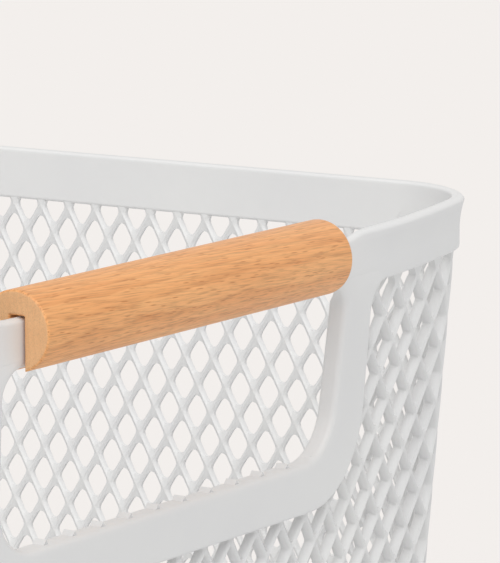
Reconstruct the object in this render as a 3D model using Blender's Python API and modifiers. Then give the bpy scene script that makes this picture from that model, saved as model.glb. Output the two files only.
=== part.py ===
"""A tapered plastic storage basket with diamond mesh walls and a wooden grip at each end.

The basket is one moulding: a smooth rim band, mesh walls, a closed floor with a foot ring, and in
each end wall a finger opening in a smooth frame. A turned beech grip sits over the bar above each
opening, held by two wood screws from the inside. Lengths run along X, the grips' axes along Y, and
the origin is on the ground under the middle of the basket. All values are in metres.
"""

import math

import bmesh
import bpy
from mathutils import Matrix, Vector

# Basket, measured on the outer face of the rim band
LENGTH = 0.4022
WIDTH = 0.3192
HEIGHT = 0.205
END_BOW = 0.0160
SIDE_BOW = 0.0004
END_FLAT = 0.050
CORNER_RADIUS = 0.0295
CORNER_LEAST = 0.002
CORNER_LOSS_SHARE = 1.25
DRAFT_SHARE = 0.088
WALL_THICKNESS = 0.0038
FLOOR_THICKNESS = 0.0028
BOTTOM_RADIUS = 0.007
INNER_FLOOR_RADIUS = 0.004
FOOT_WIDTH = 0.006
FOOT_HEIGHT = 0.0012

# Rim
BAND_HEIGHT = 0.0137
BAND_PROUD = 0.0013
BAND_LIP = 0.0008
RIM_CROWN = 0.0004
RIM_EDGE = 0.0011
FLARE = 0.0012
FLARE_HEIGHT = 0.0090
FLARE_RUN = 0.030

# Finger opening, the bar above it and its frame
OPENING_HALF = 0.0694
OPENING_TAPER = 0.0014
OPENING_DROP = 0.0123
OPENING_HEIGHT = 0.0416
OPENING_RADIUS = 0.0125
OPENING_TOP_RADIUS = 0.006
BAR_DIP = 0.0012
BAR_DIP_RUN = 0.009
FRAME_SIDE = 0.0139
FRAME_BOTTOM = 0.0127
FRAME_RADIUS = 0.0225
FRAME_FILLET = 0.007
PAD_INSET = 0.00002

# Diamond mesh
DIAMOND_PITCH = 0.027
DIAMOND_RISE = 0.045
STRAND = 0.0062
DIAMOND_SIDES = 4
MESH_MARGIN = 0.002
FRAME_CLEAR_SIDE_SHARE = 0.6
FRAME_CLEAR_LOW_SHARE = 0.8
SKIRT = 0.014

# Wooden grip
GRIP_DIAMETER = 0.018
GRIP_END_GAP = 0.0074
GRIP_SHIFT = 0.0022
GRIP_SET_BACK = 0.0021
GRIP_BELOW_RIM = 0.0043
GRIP_EDGE = 0.0007
SEAT_GAP = 0.0003

# Wood screws
SCREW_DIAMETER = 0.003
SCREW_LENGTH = 0.0145
SCREW_HEAD_DIAMETER = 0.0056
SCREW_HEAD_RIM = 0.0003
SCREW_TIP = 0.003
SCREW_END_GAP = 0.0223
SCREW_BELOW_RIM = 0.006
SCREW_SUNK = 0.0004
DRIVE_SPAN = 0.003
DRIVE_WIDTH = 0.0007
DRIVE_DEPTH = 0.0009

OVERRUN = 0.02
WELD_DISTANCE = 0.000002
SMOOTH_DEGREES = 35
END_STEPS = 4
CORNER_STEPS = 7
SIDE_STEPS = 4
ARC_STEPS = 3
FINE_ARC_STEPS = 6
GRIP_SIDES = 40
HOLE_SIDES = 16
GRIP_EDGE_STEPS = 2
GRIP_EDGE_DEGREES = 60
SOLVER_ROUNDS = 20

BAND_BOTTOM = HEIGHT - BAND_HEIGHT
OPENING_TOP = HEIGHT - OPENING_DROP
OPENING_BOTTOM = OPENING_TOP - OPENING_HEIGHT
GRIP_LENGTH = 2 * (OPENING_HALF - GRIP_END_GAP)
SCREW_SPREAD = GRIP_LENGTH / 2 - SCREW_END_GAP


def material(name, colour, roughness, metallic=0.0):
    """A Principled material with one colour, roughness and metallic value."""
    made = bpy.data.materials.new(name)
    made.use_nodes = True
    shader = made.node_tree.nodes["Principled BSDF"]
    shader.inputs["Base Color"].default_value = (*colour, 1.0)
    shader.inputs["Roughness"].default_value = roughness
    shader.inputs["Metallic"].default_value = metallic
    return made


def add_object(name, mesh, collection, finish=None):
    """An object for the mesh in the collection, with its finish."""
    made = bpy.data.objects.new(name, mesh)
    collection.objects.link(made)
    if finish:
        mesh.materials.append(finish)
    return made


def hide_cutter(cutter):
    """Marks an object as a cutter: seen as wire, never rendered."""
    cutter.hide_render = True
    cutter.display_type = "WIRE"
    return cutter


def boolean(target, cutter, operation="DIFFERENCE"):
    """Adds a Boolean with the cutter to the target."""
    modifier = target.modifiers.new(f"{operation.lower()} {cutter.name}", "BOOLEAN")
    modifier.operation = operation
    modifier.object = cutter


def smooth(target):
    """Shades a mesh smooth with sharp edges past an angle."""
    target.data.shade_smooth()
    target.data.set_sharp_from_angle(angle=math.radians(SMOOTH_DEGREES))


def bow(distance, half, flat, depth):
    """How far a wall has curved back at a distance from its middle, and its slope there."""
    past = max(abs(distance) - flat, 0.0) / (half - flat)
    return depth * past**2, 2 * depth * past / (half - flat)


def end_bow(y):
    """Set-back and slope of an end wall at a distance from its middle."""
    return bow(y, WIDTH / 2, END_FLAT, END_BOW)


def side_bow(x):
    """Set-back and slope of a side wall at a distance from its middle."""
    return bow(x, LENGTH / 2, 0.0, SIDE_BOW)


def quarter_outline(offset, radius):
    """Plan points of one quarter, from the middle of an end to the middle of a side."""
    half_x = LENGTH / 2 - offset
    half_y = WIDTH / 2 - offset
    touch_x = half_x - radius
    touch_y = half_y - radius
    for _ in range(SOLVER_ROUNDS):
        end_back, end_slope = end_bow(touch_y)
        side_back, side_slope = side_bow(touch_x)
        end_angle = math.atan(end_slope)
        side_angle = math.atan(side_slope)
        centre_x = half_x - end_back - radius * math.cos(end_angle)
        centre_y = half_y - side_back - radius * math.cos(side_angle)
        touch_x = centre_x + radius * math.sin(side_angle)
        touch_y = centre_y + radius * math.sin(end_angle)
    dip_end = OPENING_HALF + BAR_DIP_RUN
    places = [0.0, END_FLAT, OPENING_HALF, (OPENING_HALF + dip_end) / 2]
    places += [dip_end + (touch_y - dip_end) * step / END_STEPS for step in range(END_STEPS)]
    points = [(half_x - end_bow(y)[0], y) for y in sorted(places)]
    for step in range(CORNER_STEPS + 1):
        turn = end_angle + (math.pi / 2 - side_angle - end_angle) * step / CORNER_STEPS
        points.append((centre_x + radius * math.cos(turn), centre_y + radius * math.sin(turn)))
    for step in range(1, SIDE_STEPS + 1):
        x = touch_x * (1 - step / SIDE_STEPS)
        points.append((x, half_y - side_bow(x)[0]))
    return points


def ring(depth, height, face=0.0):
    """A ring of points round the basket, at a depth behind a face that is itself set in."""
    radius = max(CORNER_RADIUS - CORNER_LOSS_SHARE * face - depth, CORNER_LEAST)
    quarter = quarter_outline(face + depth, radius)
    back = quarter[-2::-1]
    points = list(quarter)
    points += [(-x, y) for x, y in back]
    points += [(-x, -y) for x, y in quarter[1:]]
    points += [(x, -y) for x, y in back[:-1]]
    return [Vector((x, y, height)) for x, y in points]


def past_bar(y, run):
    """How far along a run past the bar a place is: 0 on the bar, 1 past the run, eased."""
    share = min(max((abs(y) - OPENING_HALF) / run, 0.0), 1.0)
    return share * share * (3 - 2 * share)


def rim_ring(depth, height, flare=0.0, face=0.0):
    """A ring of the rim: it leans out by the flare and dips, except that the bars have no flare."""
    points = []
    for plain, wide in zip(ring(depth, height, face), ring(depth - flare, height, face)):
        point = plain.lerp(wide, past_bar(plain.y, FLARE_RUN))
        point.z -= BAR_DIP * (1 - past_bar(plain.y, BAR_DIP_RUN))
        points.append(point)
    return points


def loft(name, rings, closed=False):
    """A mesh between rings of equal counts, capped at its ends or closed on itself."""
    shape = bmesh.new()
    rows = [[shape.verts.new(point) for point in points] for points in rings]
    pairs = list(zip(rows, rows[1:] + rows[:1] if closed else rows[1:]))
    for low, high in pairs:
        for index in range(len(low)):
            after = (index + 1) % len(low)
            shape.faces.new((low[index], low[after], high[after], high[index]))
    if not closed:
        shape.faces.new(reversed(rows[0]))
        shape.faces.new(rows[-1])
    bmesh.ops.recalc_face_normals(shape, faces=shape.faces)
    mesh = bpy.data.meshes.new(name)
    shape.to_mesh(mesh)
    shape.free()
    return mesh


def wall_face(height):
    """How far the draft has set the wall in at a height, from nothing at the band's lower edge."""
    return DRAFT_SHARE * (BAND_BOTTOM - height)


def wall_offset(height):
    """Inward offset of the mesh wall's outer face at a height."""
    return BAND_PROUD + wall_face(height)


def tub_rings():
    """The rings of the basket's section, from under the floor, over the rim, to the floor inside."""
    low = wall_face(BOTTOM_RADIUS)
    under = BAND_PROUD + BOTTOM_RADIUS
    floor = FOOT_HEIGHT + FLOOR_THICKNESS
    inner = BAND_PROUD + WALL_THICKNESS
    rings = [
        ring(under + FOOT_WIDTH + FOOT_HEIGHT / 2, FOOT_HEIGHT, low),
        ring(under + FOOT_WIDTH, 0.0, low),
        ring(under, 0.0, low),
    ]
    for step in range(1, ARC_STEPS + 1):
        turn = math.pi / 2 * step / ARC_STEPS
        depth = under - BOTTOM_RADIUS * math.sin(turn)
        rings.append(ring(depth, BOTTOM_RADIUS * (1 - math.cos(turn)), low))
    rings += [
        ring(BAND_PROUD, BAND_BOTTOM),
        ring(BAND_LIP, BAND_BOTTOM),
        ring(0.0, BAND_BOTTOM + BAND_LIP),
    ]
    for step in range(ARC_STEPS):
        share = step / ARC_STEPS
        height = HEIGHT - FLARE_HEIGHT + (FLARE_HEIGHT - RIM_EDGE) * share
        rings.append(rim_ring(0.0, height, FLARE * share**2))
    top = wall_face(HEIGHT)
    rings += [
        rim_ring(0.0, HEIGHT - RIM_EDGE, FLARE),
        rim_ring(RIM_EDGE / 2, HEIGHT - RIM_CROWN, FLARE),
        rim_ring(inner / 2, HEIGHT),
        rim_ring(inner - RIM_EDGE / 2, HEIGHT - RIM_CROWN, face=top),
        rim_ring(inner, HEIGHT - RIM_EDGE, face=top),
    ]
    corner = floor + INNER_FLOOR_RADIUS
    for step in range(ARC_STEPS + 1):
        turn = math.pi / 2 * step / ARC_STEPS
        depth = inner + INNER_FLOOR_RADIUS * (1 - math.cos(turn))
        height = corner - INNER_FLOOR_RADIUS * math.sin(turn)
        rings.append(ring(depth, height, wall_face(corner)))
    return rings


def pad_rings():
    """The rings of the layer that brings the frames flush with the rim band."""
    top = BAND_BOTTOM + BAND_LIP
    bottom = OPENING_BOTTOM - FRAME_BOTTOM - OVERRUN
    middle = BAND_PROUD + WALL_THICKNESS / 2
    return [
        ring(PAD_INSET, top),
        ring(0.0, BAND_BOTTOM),
        ring(0.0, bottom, wall_face(bottom)),
        ring(middle, bottom, wall_face(bottom)),
        ring(middle, top),
    ]


def arc(centre, radius, start, end, steps=FINE_ARC_STEPS):
    """Points on an arc, its start and end in degrees."""
    points = []
    for step in range(steps + 1):
        turn = math.radians(start + (end - start) * step / steps)
        points.append((centre[0] + radius * math.cos(turn), centre[1] + radius * math.sin(turn)))
    return points


def opening_outline():
    """The finger opening's outline in Y and Z."""
    low = OPENING_BOTTOM + OPENING_RADIUS
    high = OPENING_TOP - OPENING_TOP_RADIUS
    side = OPENING_HALF - OPENING_TAPER - OPENING_RADIUS
    top_side = OPENING_HALF - OPENING_TOP_RADIUS
    points = arc((-side, low), OPENING_RADIUS, 180, 270)
    points += arc((side, low), OPENING_RADIUS, 270, 360)
    points += arc((top_side, high), OPENING_TOP_RADIUS, 0, 90)
    points += arc((-top_side, high), OPENING_TOP_RADIUS, 90, 180)
    return points


def frame_outline():
    """The smooth frame's outline in Y and Z, with fillets where it runs into the rim band."""
    half = OPENING_HALF + FRAME_SIDE
    side = half - FRAME_RADIUS
    low = OPENING_BOTTOM - FRAME_BOTTOM + FRAME_RADIUS
    fillet = BAND_BOTTOM - FRAME_FILLET
    top = BAND_BOTTOM + BAND_LIP / 2
    points = arc((-side, low), FRAME_RADIUS, 180, 270)
    points += arc((side, low), FRAME_RADIUS, 270, 360)
    points += arc((half + FRAME_FILLET, fillet), FRAME_FILLET, 180, 90)
    points += [(half + FRAME_FILLET, top), (-half - FRAME_FILLET, top)]
    points += arc((-half - FRAME_FILLET, fillet), FRAME_FILLET, 90, 0)
    return points


def prism(name, points, half_length, collection):
    """A mesh object of an outline in Y and Z, extruded along X by half_length each way."""
    curve = bpy.data.curves.new(name, "CURVE")
    curve.dimensions = "2D"
    curve.fill_mode = "BOTH"
    curve.extrude = half_length
    spline = curve.splines.new("POLY")
    spline.points.add(len(points) - 1)
    for point, (y, z) in zip(spline.points, points):
        point.co = (y, z, 0.0, 1.0)
    spline.use_cyclic_u = True
    guide = bpy.data.objects.new(f"{name} guide", curve)
    collection.objects.link(guide)
    graph = bpy.context.evaluated_depsgraph_get()
    mesh = bpy.data.meshes.new_from_object(guide.evaluated_get(graph))
    bpy.data.objects.remove(guide)
    shape = bmesh.new()
    shape.from_mesh(mesh)
    bmesh.ops.remove_doubles(shape, verts=shape.verts, dist=WELD_DISTANCE)
    bmesh.ops.rotate(shape, verts=shape.verts, matrix=Matrix(((0, 0, 1), (1, 0, 0), (0, 1, 0))))
    bmesh.ops.recalc_face_normals(shape, faces=shape.faces)
    shape.to_mesh(mesh)
    shape.free()
    return add_object(name, mesh, collection)


def diamond_places(reach, blocked):
    """Places of the diamonds on a wall: reach gives its half width at a height."""
    bottom = SKIRT + DIAMOND_RISE / 2
    places = []
    row = 0
    while bottom + row * DIAMOND_RISE / 2 + diamond_half_height() < BAND_BOTTOM - MESH_MARGIN:
        height = bottom + row * DIAMOND_RISE / 2
        limit = reach(height - diamond_half_height()) - diamond_half_width() - MESH_MARGIN
        shift = DIAMOND_PITCH / 2 if row % 2 else 0.0
        count = int((limit + shift) / DIAMOND_PITCH) + 1
        for column in range(-count, count + 1):
            across = column * DIAMOND_PITCH + shift
            if abs(across) <= limit and not blocked(across, height):
                places.append((across, height))
        row += 1
    return places


def diamond_half_width():
    """Half of an opening's width, with a strand's width left between neighbours."""
    slant = math.hypot(DIAMOND_PITCH, DIAMOND_RISE)
    return DIAMOND_PITCH / 2 - STRAND / 2 * slant / DIAMOND_RISE


def diamond_half_height():
    """Half of an opening's height."""
    return diamond_half_width() * DIAMOND_RISE / DIAMOND_PITCH


def end_reach(height):
    """Half width of an end wall that the mesh may use at a height."""
    return WIDTH / 2 - wall_offset(height) - CORNER_RADIUS


def side_reach(height):
    """Half length of a side wall that the mesh may use at a height."""
    return LENGTH / 2 - wall_offset(height) - END_BOW - CORNER_RADIUS / 2


def in_frame(across, height):
    """Whether a diamond at a place on an end wall would run into the frame."""
    wide = OPENING_HALF + FRAME_SIDE + diamond_half_width() * FRAME_CLEAR_SIDE_SHARE
    low = OPENING_BOTTOM - FRAME_BOTTOM - diamond_half_height() * FRAME_CLEAR_LOW_SHARE
    return abs(across) < wide and height > low


def never(_across, _height):
    """No place on a side wall is blocked."""
    return False


def diamond_cutter(name, places, half_length, along_x, collection):
    """One cutter of four-sided prisms through both walls, along X or along Y."""
    shape = bmesh.new()
    size = Matrix.Diagonal((diamond_half_width(), diamond_half_height(), half_length * 2, 1.0))
    to_x = Matrix(((0, 0, 1, 0), (1, 0, 0, 0), (0, 1, 0, 0), (0, 0, 0, 1)))
    to_y = Matrix(((-1, 0, 0, 0), (0, 0, 1, 0), (0, 1, 0, 0), (0, 0, 0, 1)))
    for across, height in places:
        centre = Vector((0.0, across, height)) if along_x else Vector((across, 0.0, height))
        place = Matrix.Translation(centre) @ (to_x if along_x else to_y) @ size
        bmesh.ops.create_cone(
            shape,
            cap_ends=True,
            segments=DIAMOND_SIDES,
            radius1=1.0,
            radius2=1.0,
            depth=1.0,
            matrix=place,
        )
    bmesh.ops.recalc_face_normals(shape, faces=shape.faces)
    mesh = bpy.data.meshes.new(name)
    shape.to_mesh(mesh)
    shape.free()
    return hide_cutter(add_object(name, mesh, collection))


def cylinder(name, radius, start, end, collection, sides=HOLE_SIDES):
    """A closed cylinder between two places."""
    span = end - start
    shape = bmesh.new()
    bmesh.ops.create_cone(
        shape, cap_ends=True, segments=sides, radius1=radius, radius2=radius, depth=span.length
    )
    turn = span.to_track_quat("Z", "Y").to_matrix().to_4x4()
    bmesh.ops.transform(
        shape, verts=shape.verts, matrix=Matrix.Translation((start + end) / 2) @ turn
    )
    mesh = bpy.data.meshes.new(name)
    shape.to_mesh(mesh)
    shape.free()
    return add_object(name, mesh, collection)


def box(name, low, high, collection):
    """A closed box between two corners."""
    shape = bmesh.new()
    size = Matrix.Diagonal((*(high - low), 1.0))
    bmesh.ops.create_cube(shape, size=1.0, matrix=Matrix.Translation((low + high) / 2) @ size)
    mesh = bpy.data.meshes.new(name)
    shape.to_mesh(mesh)
    shape.free()
    return add_object(name, mesh, collection)


def screw_places():
    """The two screws' places along a grip."""
    return (-SCREW_SPREAD, SCREW_SPREAD)


def make_basket(parts, cutters, finish):
    """The moulding: tub, frames, finger openings, mesh and screw holes."""
    basket = add_object("basket_moulding", loft("basket_moulding", tub_rings()), parts, finish)
    through = LENGTH / 2 + OVERRUN
    across = WIDTH / 2 + OVERRUN
    pads = hide_cutter(add_object("frame_pads", loft("frame_pads", pad_rings(), True), cutters))
    frames = hide_cutter(prism("frame_prism", frame_outline(), through, cutters))
    boolean(pads, frames, "INTERSECT")
    boolean(basket, pads, "UNION")
    boolean(basket, hide_cutter(prism("opening_prism", opening_outline(), through, cutters)))
    end_places = diamond_places(end_reach, in_frame)
    side_places = diamond_places(side_reach, never)
    boolean(basket, diamond_cutter("end_diamonds", end_places, through, True, cutters))
    boolean(basket, diamond_cutter("side_diamonds", side_places, across, False, cutters))
    print(f"{2 * len(end_places)} openings in the ends, {2 * len(side_places)} in the sides")
    for number, y in enumerate(screw_places(), 1):
        height = HEIGHT - SCREW_BELOW_RIM
        hole = cylinder(
            f"bar_hole_{number}",
            SCREW_DIAMETER / 2 + SEAT_GAP,
            Vector((-through, y, height)),
            Vector((through, y, height)),
            cutters,
        )
        boolean(basket, hide_cutter(hole))
    smooth(basket)
    return basket


def screw_profile(grow):
    """The screw's profile as radius and depth under the head's top, all of it grown."""
    shank = SCREW_DIAMETER / 2 + grow
    head = SCREW_HEAD_DIAMETER / 2 + grow
    cone = (SCREW_HEAD_DIAMETER - SCREW_DIAMETER) / 2
    return [
        (0.0, 0.0),
        (head, 0.0),
        (head, -SCREW_HEAD_RIM),
        (shank, -SCREW_HEAD_RIM - cone - grow),
        (shank, -(SCREW_LENGTH - SCREW_TIP) - grow),
        (0.0, -SCREW_LENGTH - 2 * grow),
    ]


def turned(name, profile, collection, finish=None):
    """A turned solid from a profile of radius and height."""
    mesh = bpy.data.meshes.new(name)
    mesh.from_pydata(
        [(radius, 0.0, height) for radius, height in profile],
        [(index, index + 1) for index in range(len(profile) - 1)],
        [],
    )
    made = add_object(name, mesh, collection, finish)
    spin = made.modifiers.new("turn", "SCREW")
    spin.steps = HOLE_SIDES
    spin.render_steps = HOLE_SIDES
    spin.use_merge_vertices = True
    spin.merge_threshold = WELD_DISTANCE
    return made


def grip_axis(side):
    """The middle of a grip's axis at the +X end (side 1) or the -X end (side -1)."""
    reach = LENGTH / 2 - GRIP_SET_BACK
    return Vector((side * reach, -side * GRIP_SHIFT, HEIGHT - GRIP_BELOW_RIM))


def screw_head_x(side):
    """Where the middle of a screw head's top lies along X, sunk into the grip's inner side."""
    drop = SCREW_BELOW_RIM - GRIP_BELOW_RIM
    reach = math.sqrt((GRIP_DIAMETER / 2) ** 2 - drop**2)
    return grip_axis(side).x - side * (reach - SCREW_SUNK)


def aim_screw(target, side, y):
    """Places a screw or its cutter with its head facing the inside of the basket."""
    target.location = (screw_head_x(side), y, HEIGHT - SCREW_BELOW_RIM)
    target.rotation_euler = (0.0, -side * math.pi / 2, 0.0)


def make_grip(name, side, parts, cutters, finish):
    """A beech grip: a dowel with rounded ends, slotted from below to sit over the bar."""
    centre = grip_axis(side)
    half = Vector((0.0, GRIP_LENGTH / 2, 0.0))
    grip = cylinder(name, GRIP_DIAMETER / 2, centre - half, centre + half, parts, GRIP_SIDES)
    grip.data.materials.append(finish)
    edges = grip.modifiers.new("eased ends", "BEVEL")
    edges.width = GRIP_EDGE
    edges.segments = GRIP_EDGE_STEPS
    edges.limit_method = "ANGLE"
    edges.angle_limit = math.radians(GRIP_EDGE_DEGREES)
    bar = wall_offset(OPENING_TOP) + WALL_THICKNESS
    front = side * (LENGTH / 2 + SEAT_GAP)
    back = side * (LENGTH / 2 - bar - SEAT_GAP)
    reach = GRIP_LENGTH / 2 + OVERRUN
    low = Vector((min(front, back), -reach, OPENING_TOP - OVERRUN))
    high = Vector((max(front, back), reach, HEIGHT - BAR_DIP + SEAT_GAP))
    boolean(grip, hide_cutter(box(f"{name}_slot", low, high, cutters)))
    for number, y in enumerate(screw_places(), 1):
        lead_in = [(0.0, OVERRUN), (SCREW_HEAD_DIAMETER / 2 + SEAT_GAP, OVERRUN)]
        bore = turned(f"{name}_bore_{number}", lead_in + screw_profile(SEAT_GAP)[1:], cutters)
        aim_screw(bore, side, y)
        boolean(grip, hide_cutter(bore))
    smooth(grip)
    return grip


def make_screw(name, side, y, parts, cutters, finish):
    """A countersunk wood screw with a cross drive."""
    screw = turned(name, screw_profile(0.0), parts, finish)
    aim_screw(screw, side, y)
    top = screw.location.copy()
    for axis, across in (("y", Vector((0, 1, 0))), ("z", Vector((0, 0, 1)))):
        other = Vector((0, 1, 1)) - across
        size = across * DRIVE_SPAN + other * DRIVE_WIDTH + Vector((2 * DRIVE_DEPTH, 0, 0))
        cut = box(f"{name}_drive_{axis}", top - size / 2, top + size / 2, cutters)
        boolean(screw, hide_cutter(cut))
    return screw


def main():
    """Clears the scene and makes the basket, its grips and their screws."""
    for old in list(bpy.data.objects):
        bpy.data.objects.remove(old)
    parts = bpy.data.collections.new("plastic_storage_basket")
    cutters = bpy.data.collections.new("cutters")
    for collection in (parts, cutters):
        bpy.context.scene.collection.children.link(collection)
    plastic = material("white polypropylene", (0.80, 0.80, 0.79), 0.38)
    wood = material("oiled beech", (0.72, 0.42, 0.21), 0.5)
    steel = material("zinc plated steel", (0.62, 0.62, 0.60), 0.35, 1.0)
    make_basket(parts, cutters, plastic)
    for word, side in (("right", 1), ("left", -1)):
        make_grip(f"wood_grip_{word}", side, parts, cutters, wood)
        for number, y in enumerate(screw_places(), 1):
            make_screw(f"grip_screw_{word}_{number}", side, y, parts, cutters, steel)


main()
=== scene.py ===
"""Looks of a tapered plastic storage basket with diamond mesh walls and two beech grips.

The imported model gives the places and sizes. Here the moulding gets its real mesh, rim, frames and
floor, each grip its turned and slotted shape, each screw its cross recess, and every surface its
finish. All values are in metres unless a name says otherwise.
"""

import logging
import math
from dataclasses import dataclass
from enum import Enum
from typing import Sequence

import bmesh
import bpy
import numpy as np
from mathutils import Matrix, Vector


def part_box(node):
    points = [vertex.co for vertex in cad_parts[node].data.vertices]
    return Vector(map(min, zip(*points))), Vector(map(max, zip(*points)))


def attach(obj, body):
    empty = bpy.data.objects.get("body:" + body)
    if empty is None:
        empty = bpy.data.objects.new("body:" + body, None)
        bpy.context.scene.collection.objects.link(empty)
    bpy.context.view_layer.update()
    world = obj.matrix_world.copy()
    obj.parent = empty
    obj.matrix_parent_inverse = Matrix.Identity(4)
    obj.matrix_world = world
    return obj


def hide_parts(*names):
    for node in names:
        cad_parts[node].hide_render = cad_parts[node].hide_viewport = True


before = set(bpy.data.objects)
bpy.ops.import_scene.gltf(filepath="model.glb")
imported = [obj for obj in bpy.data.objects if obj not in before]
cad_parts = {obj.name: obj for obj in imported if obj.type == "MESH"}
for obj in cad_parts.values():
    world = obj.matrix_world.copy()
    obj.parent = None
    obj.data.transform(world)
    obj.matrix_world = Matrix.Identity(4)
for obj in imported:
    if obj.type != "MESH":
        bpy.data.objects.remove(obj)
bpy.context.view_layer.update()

LOG = logging.getLogger("basket")
BODY = "root"
WELD_DISTANCE = 0.000004
LATTICE_FINENESS = 1000
SMOOTH_DEGREES = 60
IMAGE_HEIGHT = 563
MOULDING = "basket_moulding"
Stops = Sequence[tuple[float, tuple[float, ...]]]


class Slot(Enum):
    """The record's material slots."""

    PLASTIC = "moulded_plastic"
    WOOD = "beech"
    STEEL = "screw_steel"


class End(Enum):
    """The basket's two ends, as the sign of X."""

    RIGHT = 1
    LEFT = -1


def linear(hex_colour: str) -> tuple[float, float, float, float]:
    """Linear RGBA of an sRGB hex colour.

    Args:
        hex_colour: Six hex digits, such as "e9e9e7".

    Returns:
        The colour as Blender's sockets hold it, with an alpha of 1.
    """
    channels = []
    for start in (0, 2, 4):
        value = int(hex_colour[start : start + 2], 16) / 255
        channels.append(value / 12.92 if value <= 0.04045 else ((value + 0.055) / 1.055) ** 2.4)
    return (*channels, 1.0)


def add_node(
    tree: bpy.types.NodeTree, kind: str, inputs: dict | None = None, stops: Stops = (), **settings: object
) -> bpy.types.Node:
    """Adds a node with its settings, its fixed inputs and its links.

    Args:
        tree: The tree that gets the node.
        kind: The node's type name.
        inputs: Socket name or number to a value, or to the output socket that feeds it.
        stops: Places and linear colours along a colour ramp, in order.
        settings: Properties of the node itself.

    Returns:
        The node.
    """
    made = tree.nodes.new(kind)
    for name, value in settings.items():
        setattr(made, name, value)
    for name, value in (inputs or {}).items():
        if isinstance(value, bpy.types.NodeSocket):
            tree.links.new(value, made.inputs[name])
        else:
            made.inputs[name].default_value = value
    for place, (position, colour) in enumerate(stops):
        if place == len(made.color_ramp.elements):
            made.color_ramp.elements.new(1.0)
        made.color_ramp.elements[place].position = position
        made.color_ramp.elements[place].color = colour
    return made


def grey(value: float) -> tuple[float, float, float, float]:
    """A neutral linear colour of one value."""
    return (value, value, value, 1.0)


def link_object(name: str, data: bpy.types.ID) -> bpy.types.Object:
    """Puts a new object in the scene.

    Args:
        name: The object's name.
        data: The mesh, lamp or camera that it holds.

    Returns:
        The object.
    """
    made = bpy.data.objects.new(name, data)
    bpy.context.scene.collection.objects.link(made)
    return made


def evaluated_mesh(holder: bpy.types.Object) -> bpy.types.Mesh:
    """A plain mesh of what an object's modifiers make."""
    graph = bpy.context.evaluated_depsgraph_get()
    return bpy.data.meshes.new_from_object(holder.evaluated_get(graph))


def eased(value: np.ndarray) -> np.ndarray:
    """A share from 0 to 1 with a soft start and stop."""
    share = np.clip(value, 0.0, 1.0)
    return share * share * (3 - 2 * share)


def quarter_turn(steps: int) -> list[tuple[float, float]]:
    """Sine and cosine at each step of a quarter turn, both ends among them."""
    turns = [math.pi / 2 * step / steps for step in range(steps + 1)]
    return [(math.sin(turn), math.cos(turn)) for turn in turns]


@dataclass(frozen=True)
class Finish:
    """What every finish has: the name of its material."""

    name: str

    def start(self) -> tuple[bpy.types.Material, bpy.types.NodeTree, bpy.types.Node]:
        """Starts the material.

        Returns:
            The material, its tree and its Principled shader.
        """
        made = bpy.data.materials.new(self.name)
        made.use_nodes = True
        return made, made.node_tree, made.node_tree.nodes["Principled BSDF"]

    def build(self) -> bpy.types.Material:
        """The finished material."""
        raise NotImplementedError


@dataclass(frozen=True)
class MouldedPolypropylene(Finish):
    """White polypropylene, injection moulded in a finely eroded mould: a soft satin white."""

    colour: str = "e7e7e6"
    shade: str = "e3e3e3"
    roughness: float = 0.42
    roughness_swing: float = 0.05
    ior: float = 1.49
    mottle: float = 0.035
    grit: float = 0.0006
    grit_depth: float = 0.000012
    grit_strength: float = 0.25

    def build(self) -> bpy.types.Material:
        """Makes the plastic.

        Returns:
            The material.
        """
        made, tree, shader = self.start()
        place = add_node(tree, "ShaderNodeTexCoord").outputs["Object"]
        # Slow flow marks keep a large white wall from looking like flat paint.
        slow = {"Vector": place, "Scale": 1 / self.mottle, "Detail": 3.0}
        flow = add_node(tree, "ShaderNodeTexNoise", slow)
        stops = ((0.3, linear(self.shade)), (0.7, linear(self.colour)))
        tone = add_node(tree, "ShaderNodeValToRGB", {0: flow.outputs[0]}, stops)
        tree.links.new(tone.outputs[0], shader.inputs["Base Color"])
        # The mould's spark-eroded grit breaks the highlight on the rim into a satin one. A real grain is
        # under a tenth of a millimetre and would not show, so it is drawn coarser.
        fine = {"Vector": place, "Scale": 1 / self.grit, "Detail": 2.0}
        grit = add_node(tree, "ShaderNodeTexNoise", fine)
        low, high = self.roughness - self.roughness_swing, self.roughness + self.roughness_swing
        gloss = add_node(tree, "ShaderNodeMapRange", {0: flow.outputs[0], 3: low, 4: high})
        tree.links.new(gloss.outputs[0], shader.inputs["Roughness"])
        relief = {"Strength": self.grit_strength, "Distance": self.grit_depth, "Height": grit.outputs[0]}
        bump = add_node(tree, "ShaderNodeBump", relief)
        tree.links.new(bump.outputs[0], shader.inputs["Normal"])
        shader.inputs["IOR"].default_value = self.ior
        return made


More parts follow.
